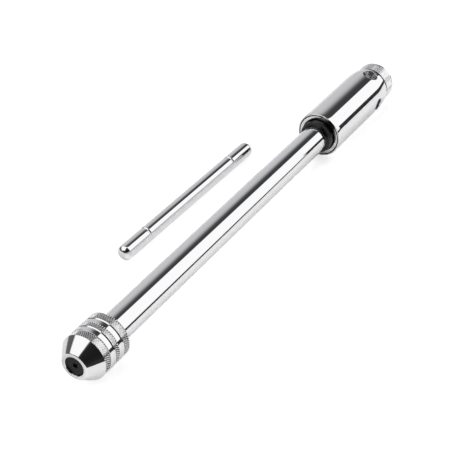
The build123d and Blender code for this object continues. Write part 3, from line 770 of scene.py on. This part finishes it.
def window_edge(stations, station, columns):
    """Rows and columns of the grid points round a window, as a loop, and its two end rows. The
    loop starts at the window's front and its first column, on the outside and on the inside."""
    front, rear = (int(np.argmin(np.abs(stations - (station + side * WINDOW_HALF)))) for side in (-1, 1))
    step = 1 if rear > front else -1
    span = np.arange(*columns)
    length = abs(rear - front)
    row = np.concatenate([np.arange(front, rear, step), np.full(len(span), rear),
                          np.arange(rear, front, -step), np.full(len(span), front)])
    column = np.concatenate([np.full(length, columns[0]), span,
                             np.full(length, columns[1]), span[::-1] + 1])
    return row, column % BORED_AROUND, (min(front, rear), max(front, rear))


def bored(outline):
    """Surface of revolution with the two cross bores through its wall. Round each mouth a window
    of the surface is taken out, outside and inside, and filled by rings that pass from the
    window's edge to a circle about the bore. Outside they then roll over by a quarter circle
    into the bore, where they meet the inner ones. At distance rho and polar angle p from the
    bore's middle a point is (station + rho cos p, rho sin p), lifted onto the surface by
    sqrt(R(x)^2 - (rho sin p)^2)."""
    points, faces = lathe(outline, BORED_AROUND)
    faces = np.array(faces).reshape(len(outline) - 1, BORED_AROUND, 4)
    keep = np.ones(faces.shape[:2], bool)
    outside = outline[:, 1] > SLEEVE_BORE + NEAR
    parts, mouth_faces, made = [points], [], len(points)
    passing = np.linspace(0, 1, PASSING_RINGS)[:, None]
    lean = np.linspace(0, np.pi / 2, ROLL_RINGS)[1:, None]
    mouths = [(station, angle + half_turn, mouth_round) for station, angle, mouth_round
              in (UPPER_BORE, LOWER_BORE) for half_turn in (0.0, 180.0)]
    for station, angle, mouth_round in mouths:
        columns = [round((angle + side * WINDOW_ANGLE) * BORED_AROUND / TURN) for side in (-1, 1)]
        rings = []
        for skin, roll in ((outside, mouth_round), (~outside, 0.0)):
            row, column, ends = window_edge(np.where(skin, outline[:, 0], np.inf), station, columns)
            keep[np.ix_(np.arange(*ends), np.arange(*columns) % BORED_AROUND)] = False
            edge_x, edge_t, _ = turned(points[row * BORED_AROUND + column], -angle).T
            polar = np.arctan2(edge_t, edge_x - station)
            rim_x, rim_t = station + (BAR_BORE + roll) * np.cos(polar), (BAR_BORE + roll) * np.sin(polar)
            x, t = edge_x + (rim_x - edge_x) * passing, edge_t + (rim_t - edge_t) * passing
            sunk = np.zeros(x.shape)
            if roll:
                rho = BAR_BORE + roll * (1 - np.sin(lean))
                x = np.vstack([x, station + rho * np.cos(polar)])
                t = np.vstack([t, rho * np.sin(polar)])
                sunk = np.vstack([sunk, roll * (1 - np.cos(lean)) * np.ones(len(polar))])
            profile = outline[skin][np.argsort(outline[skin, 0], kind="stable")]
            lift = np.sqrt(np.interp(x, *profile.T) ** 2 - t**2) - sunk
            rings.append(np.stack([x, t, lift], axis=-1))
        stack = np.concatenate([rings[0], rings[1][::-1]])
        mouth_faces += grid_faces(*stack.shape[:2], made)
        made += stack.shape[0] * stack.shape[1]
        parts.append(turned(stack.reshape(-1, 3), angle))
    return np.vstack(parts), faces[keep].tolist() + mouth_faces


def darken(piece, material, boxes):
    """Gives a piece's second material to the faces whose middle, in millimetres as station and
    radius, lies in one of the boxes (low station, high station, low radius, high radius)."""
    mesh = piece.data
    mesh.materials.append(material)
    middles = np.empty(3 * len(mesh.polygons), np.float32)
    mesh.polygons.foreach_get("center", middles)
    station, y, z = middles.reshape(-1, 3).T / MM
    radius = np.hypot(y, z)
    chosen = np.zeros(len(mesh.polygons), bool)
    for front, rear, low, high in boxes:
        chosen |= (front <= station) & (station <= rear) & (low <= radius) & (radius <= high)
    mesh.polygons.foreach_set("material_index", chosen.astype(np.int32))


sleeve = mesh_piece("chromed_head_sleeve", *bored(sleeve_outline()), "head", "sleeve", smooth_angle=35.0)
sleeve.data.materials.append(polished_chrome)
# Painted shade: dark steel on the faces inside the rim's groove and on the rear edge, standing for the
# shade in these joints.
painted_joint_shade = ground_steel("dark_steel_painted_as_joint_shade", "#2A2A2C", 1.1)
darken(sleeve, painted_joint_shade, (
    (SLEEVE_FRONT + 2 * NEAR, SLEEVE_FRONT + RIM_LINE_DEPTH + NEAR,
     RIM_LINE - NEAR, RIM_LINE + RIM_LINE_WIDTH + NEAR),
    (SLEEVE_REAR - NEAR, SLEEVE_REAR + NEAR, SLEEVE_BORE, SLEEVE_RADIUS),
))


# Head core. The turned steel body inside the sleeve, which shows only in the cross bores. Their
# walls took some plate when the head was chromed and were never buffed, so they shine dimly.
BORE_HAZE = 0.26
DRILL_LINE = 0.17
finish_nodes(("head_core",), chrome("bored_steel_wall", BORE_HAZE, DRILL_LINE))


# Selector cap. A short turned cup with a finer diamond knurl, chromed with the rest. It turns
# behind the sleeve to set the ratchet. Its front neck is painted dark as the shade in its joint,
# as the sleeve's joints are, and its back edge is well rounded for the thumb.
SELECTOR_FRONT = 242.5
SELECTOR_REAR = 250.0
SELECTOR_RADIUS = 9.25
SELECTOR_INNER = 8.6
SELECTOR_FLOOR = 249.0
SELECTOR_FACE = 7.0
SELECTOR_BACK_ROUND = 0.8
SELECTOR_PITCH = 0.72
SELECTOR_KNURL_DEPTH = 0.10
SELECTOR_NECK = 8.95
SELECTOR_NECK_END = 243.35
SELECTOR_NECK_SLOPE = 0.12
SELECTOR_SEAM = 0.4
SELECTOR_BAND_END = 249.05
selector_band = (SELECTOR_NECK_END + 0.05, SELECTOR_BAND_END)
selector_outline = np.vstack([
    [(SELECTOR_FRONT + SELECTOR_SEAM, SELECTOR_INNER)],
    rounded([(SELECTOR_FRONT + 0.3, SELECTOR_INNER), (SELECTOR_FRONT, SELECTOR_INNER),
             (SELECTOR_FRONT, SELECTOR_NECK), (SELECTOR_NECK_END - SELECTOR_NECK_SLOPE, SELECTOR_NECK),
             (SELECTOR_NECK_END, SELECTOR_RADIUS - 0.1), (SELECTOR_NECK_END + 0.02, SELECTOR_RADIUS)],
            [0, 0.05, 0.1, 0.05, 0.02, 0]),
    band_rows(selector_band, SELECTOR_RADIUS, SELECTOR_PITCH),
    rounded([(SELECTOR_BAND_END + 0.02, SELECTOR_RADIUS), (SELECTOR_REAR, SELECTOR_RADIUS),
             (SELECTOR_REAR, SELECTOR_FACE), (SELECTOR_REAR, 0)],
            [0, SELECTOR_BACK_ROUND, 0, 0], steps=10),
    [(SELECTOR_FLOOR, 0), (SELECTOR_FLOOR, SELECTOR_INNER),
     (SELECTOR_FRONT + SELECTOR_SEAM, SELECTOR_INNER)],
])
selector = mesh_piece(
    "knurled_selector_cap",
    *knurled(selector_outline, (selector_band,), SELECTOR_PITCH, SELECTOR_KNURL_DEPTH),
    "selector", "selector_cap", smooth_angle=22.0,
)
selector.data.materials.append(polished_chrome)
# Painted shade: the front neck takes the dark steel, standing for the shade in its joint with the sleeve.
darken(selector, painted_joint_shade, (
    (SELECTOR_FRONT - NEAR, SELECTOR_NECK_END, SELECTOR_INNER - NEAR, SELECTOR_RADIUS - 0.06),
))


# Cross bar. Centreless ground rod with domed ends, chromed, with a shallow round groove near
# each end that the spring ball in the head drops into. It lies on the table beside the wrench.
BAR_RADIUS = 3.4
BAR_LENGTH = 100.0
BAR_AROUND = 128
BAR_DOME = 2.75
BAR_DOME_STEPS = 25
BAR_GROOVE_SPACING = 66.0
BAR_GROOVE_WIDTH = 1.5
BAR_GROOVE_DEPTH = 0.3
BAR_GROOVE_STEPS = 17
BAR_CENTRE = (124.2, 29.0, -7.1)
BAR_HEADING = -1.09


def bar_outline():
    """Half outline of the bar: dome, side with two hollow arcs, dome. At offset d from its middle
    a hollow is the bottom of the circle through the groove's edges and deepest point."""
    circle = (BAR_GROOVE_WIDTH**2 / 4 + BAR_GROOVE_DEPTH**2) / (2 * BAR_GROOVE_DEPTH)
    d = np.linspace(-BAR_GROOVE_WIDTH / 2, BAR_GROOVE_WIDTH / 2, BAR_GROOVE_STEPS)
    hollow = np.stack([d, BAR_RADIUS - np.sqrt(circle**2 - d**2) + circle - BAR_GROOVE_DEPTH], axis=-1)
    apart = np.array([BAR_GROOVE_SPACING / 2, 0.0])
    turn = np.linspace(0, np.pi / 2, BAR_DOME_STEPS)
    dome = np.stack([BAR_LENGTH / 2 - BAR_DOME * (1 - np.cos(turn)),
                     BAR_RADIUS - BAR_DOME * (1 - np.sin(turn))], axis=-1)
    dome = np.vstack([[BAR_LENGTH / 2, 0.0], dome])
    return np.vstack([dome * (-1, 1), hollow - apart, hollow + apart, dome[::-1]])


bar_turn = np.array(Matrix.Rotation(math.radians(BAR_HEADING), 3, "Z"))
bar_points, bar_quads = lathe(bar_outline(), BAR_AROUND)
bar = mesh_piece("chromed_cross_bar", bar_points @ bar_turn.T + BAR_CENTRE, bar_quads, "tee_bar", "tee_bar")
bar.data.materials.append(polished_chrome)
